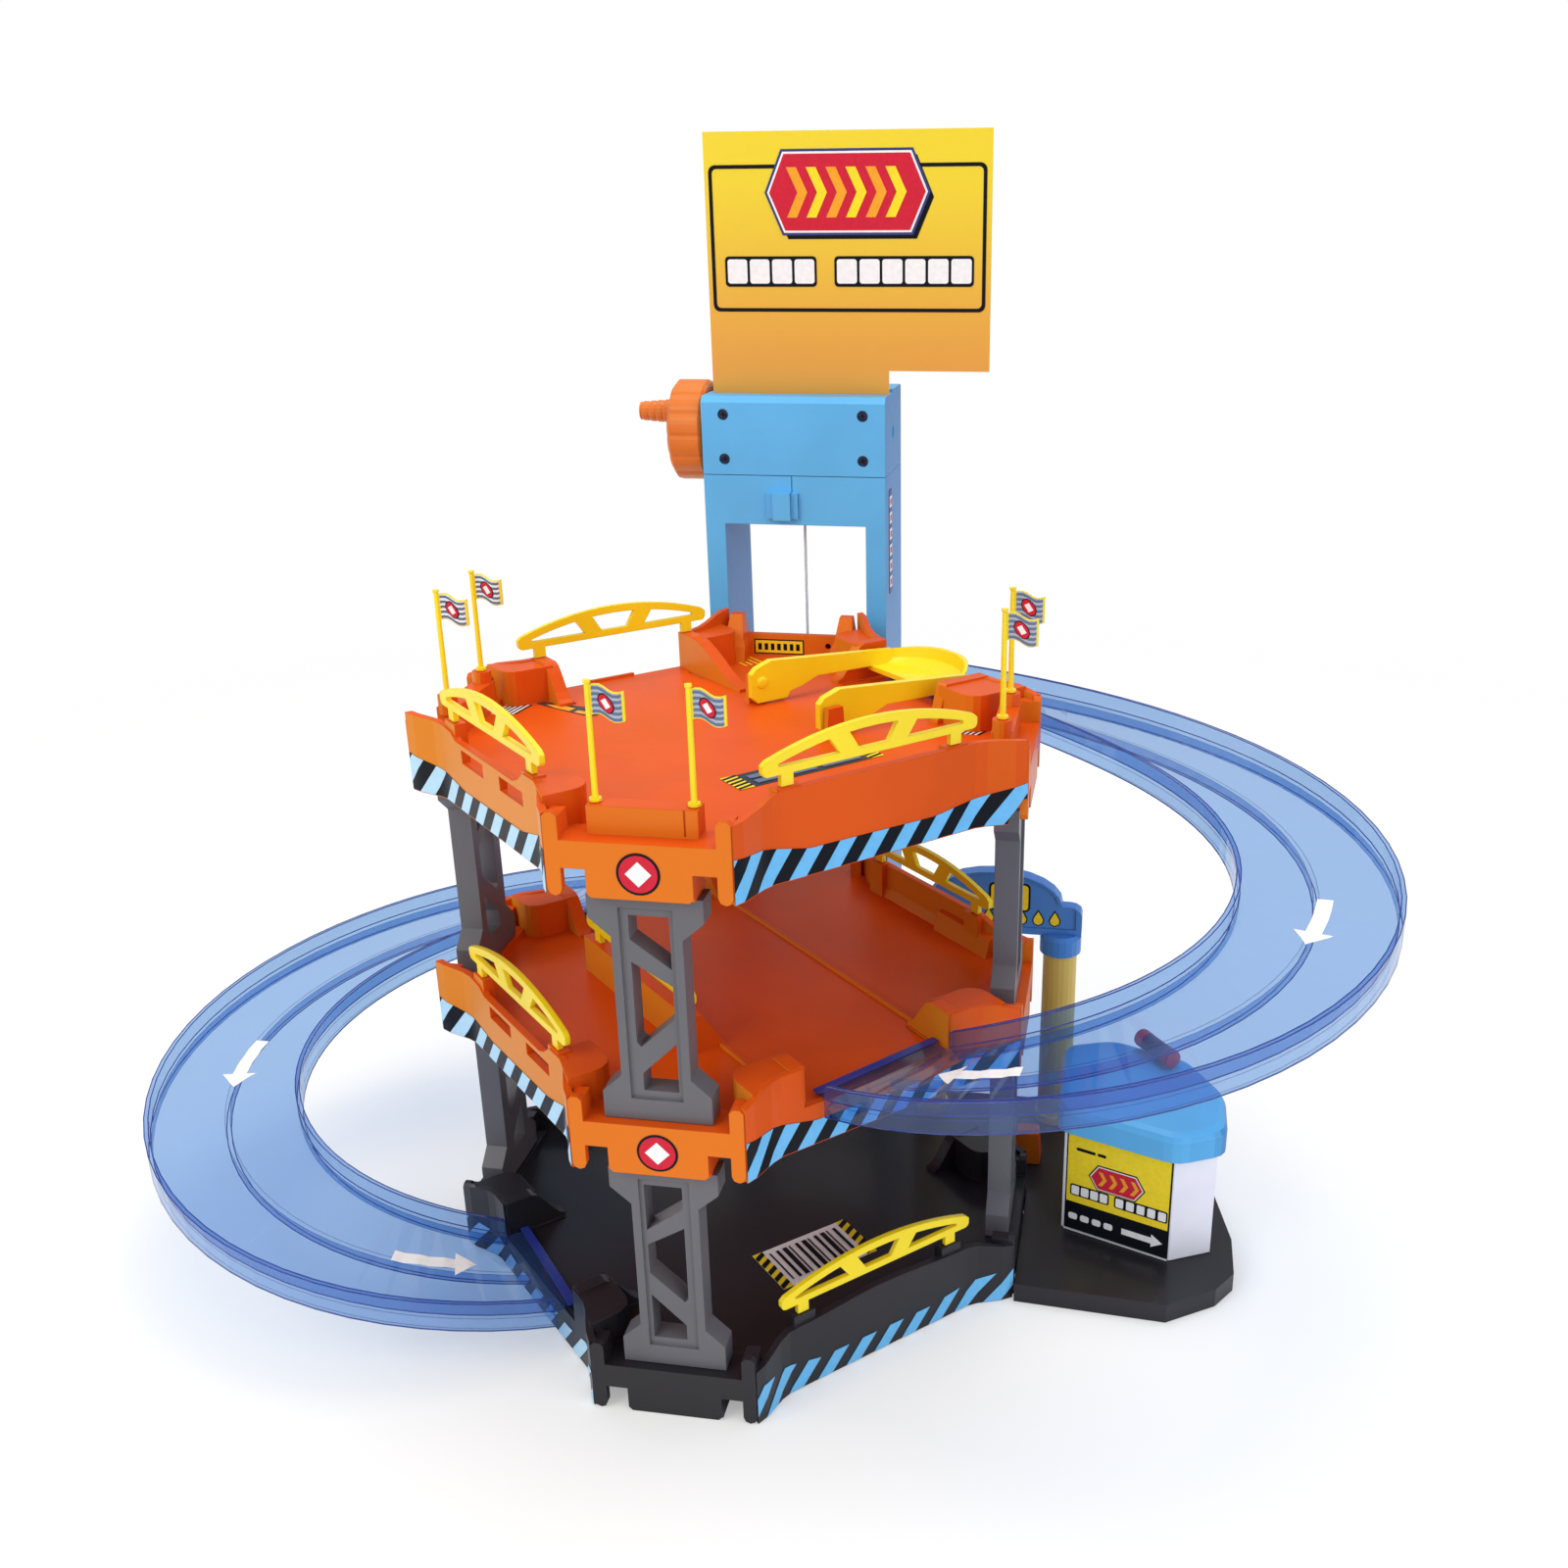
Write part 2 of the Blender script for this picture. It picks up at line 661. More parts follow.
def bay_side(deck, side, front=Corner(), back=Corner()):
    """A side open for a track: skirt, lane walls and two thick corners."""
    fuse(deck, wall_strip(side, 0.0, bay_rim_points(front, back)))
    for sign, corner in ((-1, front), (1, back)):
        fuse(deck, cheek(side, sign * RAIL_FOOT_SPREAD / 2, corner))
        thick_corner(deck, side, sign, corner.depth)
        cut(deck, hook_slot(side, sign))


def skirt_notch(side):
    """The cutter that raises the lower edge of a wall beside its right ear."""
    out = LONG_OUT - 2 * WALL
    outline = ((SKIRT_NOTCH_START, out), (LONG_HALF + WALL, out), (LONG_HALF + WALL, CORNER_OUT + WALL),
               (SKIRT_NOTCH_START, CORNER_OUT + WALL))
    return side_prism(side, outline, -WALL, SKIRT_NOTCH_TOP)


def edge_lip(side):
    """A low lip on the sill of the bay that has no track."""
    inner = LONG_OUT - 0.8 * WALL
    outer = LONG_OUT - 0.2 * WALL
    top = FLOOR_TOP + EDGE_LIP_RISE
    outline = ((inner, FLOOR_MIDDLE), (outer, FLOOR_MIDDLE), (outer, top), (inner, top))
    return side_slice(side, outline, EDGE_LIP_START, EDGE_LIP_END)


def ledge(side, start, end, width, height):
    """A sloping ledge along the inner face of a parapet."""
    outer = LONG_OUT - WALL / 2
    inner = LONG_OUT - width
    top = FLOOR_TOP + height
    outline = ((outer, FLOOR_MIDDLE), (outer, top), (inner + WALL, top - WALL / 2), (inner, FLOOR_MIDDLE))
    return side_slice(side, outline, start, end)


def lane_ridge(deck, along, reach):
    """A low ridge on the floor that keeps cars in the lane between two bays."""
    half = LANE_RIDGE_WIDTH / 2
    top = FLOOR_TOP + LANE_RIDGE_HEIGHT
    outline = ((along - half, FLOOR_MIDDLE), (along + half, FLOOR_MIDDLE), (along + half / 2, top), (along - half / 2, top))
    rings = [[FRONT_RIGHT.at(a, out, z) for a, z in outline] for out in (-reach, reach)]
    fuse(deck, loft(rings))


def floor_ribs(deck):
    low = FLOOR_LOW - RIB_DROP
    reach = LONG_OUT
    for place in (-RIB_PLACE, RIB_PLACE):
        half = RIB_WIDTH / 2
        fuse(deck, block((place - half, -reach, low), (place + half, reach, FLOOR_MIDDLE)))
        fuse(deck, block((-reach, place - half, low), (reach, place + half, FLOOR_MIDDLE)))


def start_deck(name, material):
    return add_object(name, prism(deck_floor_outline(), FLOOR_LOW, FLOOR_TOP), material)


def raise_deck(deck, level):
    deck.location.z = level * LEVEL_PITCH
    return deck


def base_deck(material):
    deck = start_deck("base_deck", material)
    floor_ribs(deck)
    closed_side(deck, FRONT_RIGHT, ARCH_RIM)
    for side in (FRONT_LEFT, BACK_RIGHT):
        bay_side(deck, side)
    closed_side(deck, BACK_LEFT, CLOSED_RIM)
    for turn in (FRONT, RIGHT, LEFT):
        fuse(deck, *short_side(turn), tenon(turn))
    fuse(deck, *open_back(), *back_sill())
    fuse(deck, rod((0, 0, 0), (0, 0, FLOOR_MIDDLE), 0.012, 24))
    return deck


def inner_rail_wall(deck):
    """The wall on the middle deck that carries the railing beside the crossing lane."""
    half = CHEEK_WIDTH / 2
    inner = INNER_RAIL_OUT - half
    outer = INNER_RAIL_OUT + half
    run = RAIL_LENGTH / 2
    outline = ((inner - 0.010, FLOOR_MIDDLE), (inner - 0.009, FLOOR_TOP + 0.002), (inner, RAIL_SEAT), (outer, RAIL_SEAT),
               (outer, FLOOR_MIDDLE))
    fuse(deck, side_slice(FRONT_LEFT, outline, -run, run))


def middle_deck(material):
    deck = start_deck("middle_deck", material)
    floor_ribs(deck)
    slotted_side(deck, FRONT_LEFT)
    for side in (FRONT_RIGHT, BACK_LEFT):
        bay_side(deck, side)
    closed_side(deck, BACK_RIGHT, CLOSED_RIM)
    fuse(deck, ledge(BACK_RIGHT, LEDGE_START, LEDGE_STEP, LEDGE_WIDE, LEDGE_HIGH))
    fuse(deck, ledge(BACK_RIGHT, LEDGE_STEP - SILL_DROP, LEDGE_END, LEDGE_NARROW, LEDGE_LOW))
    reach = LONG_OUT - CHEEK_LENGTH
    for sign in (-1, 1):
        lane_ridge(deck, sign * RAIL_FOOT_SPREAD / 2, reach)
    inner_rail_wall(deck)
    for turn in (FRONT, RIGHT, LEFT):
        fuse(deck, *short_side(turn), tenon(turn))
    fuse(deck, *open_back(), *back_sill())
    return raise_deck(deck, 1)


def back_lug(sign):
    """A tapered upright beside the stop wall."""
    outer = SHORT_HALF - SILL_DROP
    middle = outer - LUG_WIDTH / 2
    front = WALL / 2
    place = short_place(BACK)
    rings = []
    for width, length, height in ((LUG_WIDTH, LUG_LENGTH, FLOOR_MIDDLE), (LUG_WIDTH, LUG_LENGTH - WALL, LUG_WAIST - WALL),
                                  (LUG_WIDTH - WALL, LUG_LENGTH - 2 * WALL, LUG_WAIST), (LUG_TOP_WIDTH, LUG_TOP_LENGTH, LUG_TOP)):
        corners = ((-width / 2, front), (width / 2, front), (width / 2, front + length), (-width / 2, front + length))
        rings.append([place @ Vector((sign * (middle + x), y, height)) for x, y in corners])
    return loft(rings)


def top_deck(material):
    deck = start_deck("top_deck", material)
    floor_ribs(deck)
    closed_side(deck, FRONT_RIGHT, CLOSED_RIM)
    cut(deck, skirt_notch(FRONT_RIGHT))
    slotted_side(deck, FRONT_LEFT)
    bay_side(deck, BACK_LEFT, back=Corner(length=SWEEP_LENGTH, rim=FIN_RIM))
    fuse(deck, edge_lip(BACK_LEFT))
    bay_side(deck, BACK_RIGHT, front=Corner(level=DEEP_CORNER - WALL, depth=DEEP_CORNER), back=Corner(rim=FIN_RIM))
    for turn in (FRONT, RIGHT, LEFT):
        fuse(deck, *short_side(turn), *flag_block(turn, turn != FRONT))
    cut(deck, block_seam())
    place = short_place(BACK)
    ear = SHORT_HALF - EAR_WIDTH
    fuse(deck, *open_back(), *back_sill())
    fuse(deck, block((-ear - WALL, 0.0, FLOOR_MIDDLE), (ear + WALL, WALL, STOP_WALL_TOP), place))
    fuse(deck, back_lug(-1), back_lug(1))
    height = (FLOOR_TOP + STOP_WALL_TOP) / 2
    for x in (-STOP_HOLE_PLACE, STOP_HOLE_PLACE):
        cut(deck, rod(place @ Vector((x, -WALL, height)), place @ Vector((x, 2 * WALL, height)), STOP_HOLE_RADIUS))
    gate_mounts(deck)
    return raise_deck(deck, 2)


def post_outline(height):
    """Front view of a post: a wide head and foot joined by a narrow waist."""
    right = [(POST_FOOT_HALF, 0.0), (POST_FOOT_HALF, POST_FOOT_HEIGHT),
             (POST_WAIST_HALF, POST_FOOT_HEIGHT + POST_FLARE),
             (POST_WAIST_HALF, height - POST_HEAD_HEIGHT - POST_FLARE),
             (POST_TOP_HALF, height - POST_HEAD_HEIGHT), (POST_TOP_HALF, height)]
    left = [(-x, z) for x, z in reversed(right)]
    return right + left


def post_windows(height, sign):
    """The three openings between two slanting braces, as shares of the way down from the top."""
    top = height - POST_WINDOW_TOP_GAP
    span = top - POST_WINDOW_LOW
    near = -POST_WAIST_HALF + 2 * POST_RIM
    far = POST_WAIST_HALF - 2 * POST_RIM + POST_WINDOW_STEP
    step = near + POST_WINDOW_STEP
    shapes = (((near, 0.0), (far, 0.0), (far, 0.29), (near, 0.135)),
              ((near, 0.26), (far, 0.385), (far, 0.57), (step, 0.745), (near, 0.72)),
              ((step, 0.90), (far, 0.715), (far, 1.0), (step, 1.0)))
    return [[(sign * x, top - span * share) for x, share in shape] for shape in shapes]


def lattice_post(name, turn, level, material):
    """A post whose hollow foot stands over the deck's tenon, with a sunk face inside its border."""
    height = LEVEL_PITCH - PLATE_TOP - 2 * TOUCH
    depth = POST_DEPTH
    post = add_object(name, prism(post_outline(height), -depth, 0.0, UPRIGHT), material)
    windows = post_windows(height, 1 if level else -1)
    for outline in windows:
        cut(post, prism(outline, -2 * depth, depth, UPRIGHT))
    half = POST_WAIST_HALF - POST_RIM
    low = POST_WINDOW_LOW - POST_RIM
    high = height - POST_WINDOW_TOP_GAP + POST_RIM
    band = ((-half, low), (half, low), (half, high), (-half, high))
    cut(post, prism(band, -POST_PANEL_DROP, POST_PANEL_DROP, UPRIGHT))
    middle = depth / 2
    room = TENON_DEPTH / 2 + TOUCH
    cut(post, block((-TENON_HALF - TOUCH, middle - room, -0.001), (TENON_HALF + TOUCH, middle + room, TENON_HEIGHT + TOUCH)))
    post.matrix_world = short_place(turn) @ Matrix.Translation((0, POST_FRONT, level * LEVEL_PITCH + PLATE_TOP + TOUCH))
    return post


def arch_height(along):
    """Height of a railing's arched upper edge above the underside of its beam."""
    share = 2 * along / RAIL_LENGTH
    return RAIL_END_HEIGHT + RAIL_RISE * (1 - share * share)


def railing_outline():
    """Side view of a railing: two feet, a straight beam and an arch, rounded at both ends."""
    half = RAIL_LENGTH / 2
    foot = RAIL_FOOT_SPREAD / 2
    width = RAIL_FOOT_WIDTH / 2
    base = RAIL_FOOT_HEIGHT
    bevel = RAIL_END_ROUND
    lower = [(-half, base + bevel), (-half + bevel / 3, base + bevel / 3), (-half + bevel, base)]
    for centre in (-foot, foot):
        lower += [(centre - width, base), (centre - width, 0.0), (centre + width, 0.0), (centre + width, base)]
    lower += [(half - bevel, base), (half - bevel / 3, base + bevel / 3), (half, base + bevel)]
    upper = [(along, base + arch_height(along)) for along in stations(half - bevel, bevel - half, 14)]
    tip = base + arch_height(half) - bevel / 2
    return lower + [(half, tip)] + upper + [(-half, tip)]


def railing_windows():
    """Three openings between the beam and the arch, parted by two struts that lean together at the foot."""
    low = RAIL_FOOT_HEIGHT + RAIL_BEAM

    def under_arch(along):
        return RAIL_FOOT_HEIGHT + arch_height(along) - RAIL_ARCH

    lean = RAIL_STRUT_LEAN
    inner = RAIL_STRUT_PLACE - lean
    outer = RAIL_STRUT_PLACE + RAIL_STRUT
    tip = RAIL_LENGTH / 2 - 2 * RAIL_ARCH
    middle = [(-inner, low), (inner, low)]
    middle += [(along, under_arch(along)) for along in stations(inner + lean, -inner - lean, 4)]
    side = [(outer, low), (tip, low)] + [(along, under_arch(along)) for along in stations(tip, outer + lean, 4)]
    side = [point for index, point in enumerate(side) if index == 0 or point[1] >= low]
    return (middle, side, [(-along, height) for along, height in side])


def railing(name, side, level, material, out=LONG_OUT - WALL):
    rail = add_object(name, prism(railing_outline(), -RAIL_THICK / 2, RAIL_THICK / 2, UPRIGHT), material)
    for outline in railing_windows():
        cut(rail, prism(outline, -RAIL_THICK, RAIL_THICK, UPRIGHT))
    spot = side.at(0.0, out, level * LEVEL_PITCH + RAIL_SEAT + TOUCH)
    turn = math.atan2(side.along.y, side.along.x)
    rail.matrix_world = Matrix.Translation(spot) @ Matrix.Rotation(turn, 4, "Z")
    return rail


def flag(name, turn, sign, height, material):
    """A tapered pole with a round foot and head and a waving flag, moulded in one."""
    knob = POLE_TOP_RADIUS * 1.35
    neck = POLE_HEIGHT - POLE_TOP_RADIUS
    profile = ((POLE_FOOT_RADIUS, 0.0), (POLE_FOOT_RADIUS, POLE_FOOT_HEIGHT), (POLE_RADIUS, POLE_FOOT_HEIGHT),
               (POLE_TOP_RADIUS, neck), (knob, neck), (knob, POLE_HEIGHT))
    pole = add_object(name, turned(profile, 8), material)
    top = POLE_HEIGHT - 0.0018
    rings = []
    for share in stations(0.0, 1.0, 7):
        x = POLE_TOP_RADIUS * 0.3 + FLAG_WIDTH * share
        wave = FLAG_WAVE * math.sin(2 * math.pi * share)
        z = top - 0.0016 * share + 0.0008 * math.sin(2 * math.pi * share)
        rings.append([Vector((x, wave - FLAG_THICK / 2, z)), Vector((x, wave + FLAG_THICK / 2, z)),
                      Vector((x, wave + FLAG_THICK / 2, z - FLAG_HEIGHT)), Vector((x, wave - FLAG_THICK / 2, z - FLAG_HEIGHT))])
    fuse(pole, loft(rings))
    spot = short_place(turn) @ Vector((sign * FLAG_SPREAD, BLOCK_FRONT + BLOCK_DEPTH / 2, height))
    pole.location = spot + Vector((0, 0, 2 * LEVEL_PITCH + TOUCH))
    return smooth(pole)


def track_drop(share):
    """Share of a level's height lost after a share of the turn, steeper at the start and end."""
    return share + TRACK_BULGE * share * (1 - share) * (1 - 2 * share)


def track_section():
    """The channel's cross-section as radius and height, floor top at zero, rib below the middle."""
    inner, outer, rib = TRACK_INNER, TRACK_OUTER, TRACK_RIB
    wall, floor, lip = TRACK_WALL, TRACK_FLOOR, TRACK_LIP
    half = wall / 2
    return ((inner - wall, lip), (inner, lip), (inner, 0.0), (outer, 0.0), (outer, lip), (outer + wall, lip),
            (outer + wall, -lip), (outer, -lip), (outer, -floor), (rib + half, -floor), (rib + half, -lip),
            (rib - half, -lip), (rib - half, -floor), (inner, -floor), (inner, -lip), (inner - wall, -lip))


def spiral_track(name, sign, top_level, material):
    """A falling turn outside the decks. It leaves one deck at the back and joins the next in front."""
    section = track_section()
    start_height = top_level * LEVEL_PITCH + FLOOR_TOP + TOUCH + TONGUE_THICK
    half_turn = TRACK_TURN / 2
    rings = []
    for share in stations(0.0, 1.0, TRACK_STEPS):
        angle = half_turn - TRACK_TURN * share
        height = start_height - LEVEL_PITCH * track_drop(share)
        spoke = Vector((math.cos(angle), math.sin(angle), 0.0))
        rings.append([spoke * radius + Vector((0, 0, height + rise)) for radius, rise in section])
    track = add_object(name, loft(rings), material)
    for end, height in ((half_turn, start_height), (-half_turn, start_height - LEVEL_PITCH)):
        fuse(track, track_tongue(end, height))
    flip = Matrix.Scale(sign, 4, Vector((1, 0, 0)))
    track.data.transform(Matrix.Translation((sign * TRACK_CENTRE, 0, 0)) @ flip)
    if sign < 0:
        track.data.flip_normals()
    return smooth(track, 30.0)


def track_tongue(angle, height):
    """The flat hook at a track's end that lies on the deck's edge."""
    spoke = Vector((math.cos(angle), math.sin(angle), 0.0))
    forward = Vector((-spoke.y, spoke.x, 0.0)) * math.copysign(1.0, angle)
    near = TRACK_INNER + TONGUE_INSET
    far = TRACK_OUTER - TONGUE_INSET
    corners = ((near, -TRACK_FLOOR / 2), (far, -TRACK_FLOOR / 2), (far, TRACK_TONGUE), (near, TRACK_TONGUE))
    rings = []
    for drop in (TONGUE_THICK, 0.0):
        rings.append([spoke * radius + forward * reach + Vector((0, 0, height - drop)) for radius, reach in corners])
    return loft(rings)


def tower_leg(inner, low, high):
    """The outside of one leg of the tower, from its inner face outward."""
    near, far = sorted((inner, math.copysign(TOWER_HALF, inner)))
    back = TOWER_FRONT + TOWER_DEPTH
    return block((near, TOWER_FRONT, low), (far, back, high))


def tower_leg_room(inner, low, high):
    """The room inside a leg, open at its lower end."""
    near, far = sorted((inner, math.copysign(TOWER_HALF, inner)))
    back = TOWER_FRONT + TOWER_DEPTH
    skin = TOWER_SKIN
    return block((near + skin, TOWER_FRONT + skin, low - skin), (far - skin, back - skin, high - skin))


def tower_tie(low, height=TIE_HEIGHT):
    back = TOWER_FRONT + TOWER_DEPTH
    reach = TOWER_INNER + TOWER_SKIN / 2
    return block((-reach, back - TIE_DEPTH, low), (reach, back, low + height))


def lower_tower(material):
    """Both legs up to the top deck, tied together at the back and by a pan on the floor."""
    top = TOWER_SPLIT - TOUCH / 2
    frame = add_object("lower_tower_frame", tower_leg(TOWER_INNER, 0.0, top), material)
    fuse(frame, tower_leg(-TOWER_INNER, 0.0, top))
    cut(frame, tower_leg_room(TOWER_INNER, 0.0, top), tower_leg_room(-TOWER_INNER, 0.0, top))
    reach = TOWER_INNER + TOWER_SKIN / 2
    fuse(frame, block((-reach, TOWER_FRONT, 0.0), (reach, TOWER_FRONT + TOWER_DEPTH, TOWER_SKIN)))
    for low in (LEVEL_PITCH - TIE_HEIGHT, TOWER_SPLIT - TIE_HEIGHT - TOUCH):
        fuse(frame, tower_tie(low))
    return frame


def upper_tower(material):
    """The window frame above the top deck with the crossbar that carries the winch."""
    low = TOWER_SPLIT + TOUCH / 2
    top = HOUSING_LOW - TOUCH / 2
    back = TOWER_FRONT + TOWER_DEPTH
    frame = add_object("upper_tower_frame", tower_leg(TOWER_INNER, low, top), material)
    fuse(frame, tower_leg(-TOWER_INNER, low, top))
    cut(frame, tower_leg_room(TOWER_INNER, low, top), tower_leg_room(-TOWER_INNER, low, top))
    reach = TOWER_INNER + TOWER_SKIN / 2
    skin = TOWER_SKIN
    fuse(frame, block((-reach, TOWER_FRONT, CROSSBAR_LOW), (reach, TOWER_FRONT + 2 * skin, top)))
    fuse(frame, block((-reach, back - 2 * skin, CROSSBAR_LOW), (reach, back, top)))
    fuse(frame, block((-reach, TOWER_FRONT + skin, top - skin), (reach, back - skin, top)))
    fuse(frame, tower_tie(low))
    fuse(frame, *latch())
    seam = LATCH_PLACE + LATCH_NOSE_WIDTH / 2
    cut(frame, block((seam, TOWER_FRONT - SEAM_WIDTH, CROSSBAR_LOW + LATCH_RISE + LATCH_HEIGHT),
                     (seam + SEAM_WIDTH, TOWER_FRONT + SEAM_WIDTH, top + SEAM_WIDTH)))
    cut(frame, rod((STRING_PLACE.x, STRING_PLACE.y, top - 2 * skin), (STRING_PLACE.x, STRING_PLACE.y, top + skin), 0.003))
    return frame


def latch():
    """The stepped latch on the crossbar: a low base with a taller nose."""
    low = CROSSBAR_LOW + LATCH_RISE
    parts = []
    for width, depth, tuck in ((LATCH_WIDTH, LATCH_BASE_DEPTH, TOWER_SKIN / 4), (LATCH_NOSE_WIDTH, LATCH_DEPTH, 0.0)):
        parts.append(block((LATCH_PLACE - width / 2, TOWER_FRONT - depth, low + tuck),
                           (LATCH_PLACE + width / 2, TOWER_FRONT + TOWER_SKIN, low + LATCH_HEIGHT - tuck)))
    return parts


WINCH_PLACE = Vector((0.0, TOWER_FRONT + TOWER_DEPTH / 2, WINCH_HEIGHT))
STRING_PLACE = Vector((0.0015, WINCH_PLACE.y - DRUM_RADIUS - STRING_RADIUS, 0.0))
HOUSING_SEAM = WINCH_PLACE.y


def housing_shell(name, face, seam, top, chamfer, material):
    """One half of the winch housing, open towards the other half and below the drum."""
    low = HOUSING_LOW + TOUCH / 2
    inward = math.copysign(1.0, seam - face)
    skin = TOWER_SKIN
    profile = ((face, low), (face, top - chamfer), (face + inward * chamfer, top), (seam, top), (seam, low))
    shell = add_object(name, loft([[Vector((x, y, z)) for y, z in profile] for x in (-TOWER_HALF, TOWER_HALF)]), material)
    near, far = sorted((face + inward * skin, seam + inward * skin))
    hollow = ((near, low - skin), (far, low - skin), (far, top - skin - chamfer / 2), (near, top - skin - chamfer / 2))
    cut(shell, loft([[Vector((x, y, z)) for y, z in hollow] for x in (skin - TOWER_HALF, TOWER_HALF - skin)]))
    bore = SHAFT_RADIUS + TOUCH
    reach = TOWER_HALF + skin
    cut(shell, rod((-reach, WINCH_PLACE.y, WINCH_PLACE.z), (reach, WINCH_PLACE.y, WINCH_PLACE.z), bore, 16))
    return shell


def winch_housing(material):
    seam = TOUCH / 2
    back = TOWER_FRONT + TOWER_DEPTH
    rear_top = HOUSING_TOP + HOUSING_BACK_RISE
    front = housing_shell("winch_front_cover", TOWER_FRONT, HOUSING_SEAM - seam, HOUSING_TOP, HOUSING_CHAMFER, material)
    rear = housing_shell("winch_back_cover", back, HOUSING_SEAM + seam, rear_top, HOUSING_CHAMFER / 2, material)
    card_y = TOWER_FRONT + CARD_FROM_FRONT
    room = CARD_THICK / 2 + TOUCH
    cut(front, block((-CARD_LEFT - TOUCH, card_y - room, HOUSING_TOP - CARD_TUCK), (CARD_STEM + TOUCH, card_y + room, HOUSING_TOP + TOWER_SKIN)))
    for x in (-SCREW_SPREAD / 2, SCREW_SPREAD / 2):
        for z in screw_heights():
            cut(front, rod((x, TOWER_FRONT - 0.001, z), (x, TOWER_FRONT + SCREW_RECESS_DEPTH, z), SCREW_RECESS_RADIUS, 14))
    return front, rear


def screw_heights():
    return (WINCH_HEIGHT - SCREW_RISE, WINCH_HEIGHT + SCREW_RISE)


def winch_drum(material):
    """Drum, flanges and shaft in one, turning in the housing's side walls."""
    end = TOWER_HALF - TOWER_SKIN - RUNNING_GAP
    start = -(TOWER_HALF + KNOB_WIDTH / 2)
    middle = STRING_PLACE.x
    rim = DRUM_HALF + FLANGE_THICK
    profile = ((SHAFT_RADIUS, start), (SHAFT_RADIUS, middle - rim), (DRUM_FLANGE, middle - rim),
               (DRUM_FLANGE, middle - DRUM_HALF), (DRUM_RADIUS, middle - DRUM_HALF), (DRUM_RADIUS, middle + DRUM_HALF),
               (DRUM_FLANGE, middle + DRUM_HALF), (DRUM_FLANGE, middle + rim), (SHAFT_RADIUS, middle + rim), (SHAFT_RADIUS, end))
    drum = add_object("winch_drum", turned(profile, 24, Matrix.Rotation(math.pi / 2, 4, "Y")), material)
    drum.location = WINCH_PLACE
    return smooth(drum)


def crank_wheel(material):
    """A fluted wheel on the shaft's outer end."""
    steps = KNOB_LOBES * 6
    face = -(TOWER_HALF + RUNNING_GAP)
    rings = []
    for x, share in ((face, 0.93), (face - 0.0015, 1.0), (face - KNOB_WIDTH + 0.0015, 1.0), (face - KNOB_WIDTH, 0.92)):
        ring = []
        for k in range(steps):
            angle = 2 * math.pi * k / steps
            radius = (KNOB_RADIUS - KNOB_LOBE_DEPTH * (1 - abs(math.sin(KNOB_LOBES * angle / 2)) ** 0.5)) * share
            ring.append(Vector((x, radius * math.cos(angle), radius * math.sin(angle))))
        rings.append(ring)
    wheel = add_object("crank_wheel", loft(rings), material)
    bore = SHAFT_RADIUS + TOUCH
    cut(wheel, rod((face + 0.001, 0, 0), (-(TOWER_HALF + KNOB_WIDTH / 2) - TOUCH, 0, 0), bore, 16))
    outer = face - KNOB_WIDTH
    cut(wheel, rod((outer - PEG_RADIUS, 0, HANDLE_THROW), (outer + PEG_LENGTH + TOUCH, 0, HANDLE_THROW), PEG_RADIUS + TOUCH, 12))
    wheel.location = WINCH_PLACE
    return smooth(wheel)


def crank_handle(material):
    """A tapered grip with rings, pegged into the wheel off its centre."""
    face = TOWER_HALF + RUNNING_GAP + KNOB_WIDTH + TOUCH
    profile = [(PEG_RADIUS, face - PEG_LENGTH), (PEG_RADIUS, face), (HANDLE_BASE_RADIUS, face)]
    pitch = HANDLE_LENGTH / HANDLE_RINGS
    groove = HANDLE_BASE_RADIUS * 0.05
    for share in stations(1 / HANDLE_RINGS, 1.0, HANDLE_RINGS - 1):
        radius = HANDLE_BASE_RADIUS + (HANDLE_TIP_RADIUS - HANDLE_BASE_RADIUS) * share
        at = face + HANDLE_LENGTH * share
        profile += [(radius + groove, at - 0.45 * pitch), (radius - groove, at - 0.25 * pitch), (radius, at)]
    place = Matrix.Translation((0, 0, HANDLE_THROW)) @ Matrix.Rotation(-math.pi / 2, 4, "Y")
    grip = add_object("crank_handle", turned(profile, 16, place), material)
    grip.location = WINCH_PLACE
    return smooth(grip)


def lift_cage(material):
    """The platform that carries a car: floor, two cheeks and a bridge with the string's eye."""
    half = TOWER_INNER - RUNNING_GAP
    front = TOWER_FRONT + RUNNING_GAP
    back = TOWER_FRONT + TOWER_DEPTH - TIE_DEPTH - RUNNING_GAP
    low = CAGE_REST - CAGE_FLOOR
    top = CAGE_REST + CAGE_HEIGHT
    skin = CAGE_SKIN
    cage = add_object("lift_cage", block((-half, front, low), (half, back, CAGE_REST)), material)
    middle = STRING_PLACE.y
    for sign in (-1, 1):
        near, far = sorted((sign * (half - skin), sign * half))
        fuse(cage, block((near, middle - 0.008, low), (far, middle + 0.008, top)))
        fuse(cage, block((near, front, low), (far, back, CAGE_REST + 0.006)))
    fuse(cage, block((-half, middle - 0.004, top - 0.003), (half, middle + 0.004, top)))
    fuse(cage, block((-half, back - skin, low), (half, back, CAGE_REST + 0.006)))
    return cage


def lift_string(material):
    """The string from the front of the drum down to the cage's bridge."""
    low = CAGE_REST + CAGE_HEIGHT + TOUCH
    string = add_object("lift_string", rod((0, 0, low - WINCH_PLACE.z), (0, 0, 0), STRING_RADIUS, 8), material)
    string.location = (STRING_PLACE.x, STRING_PLACE.y - TOUCH, WINCH_PLACE.z)
    return smooth(string)


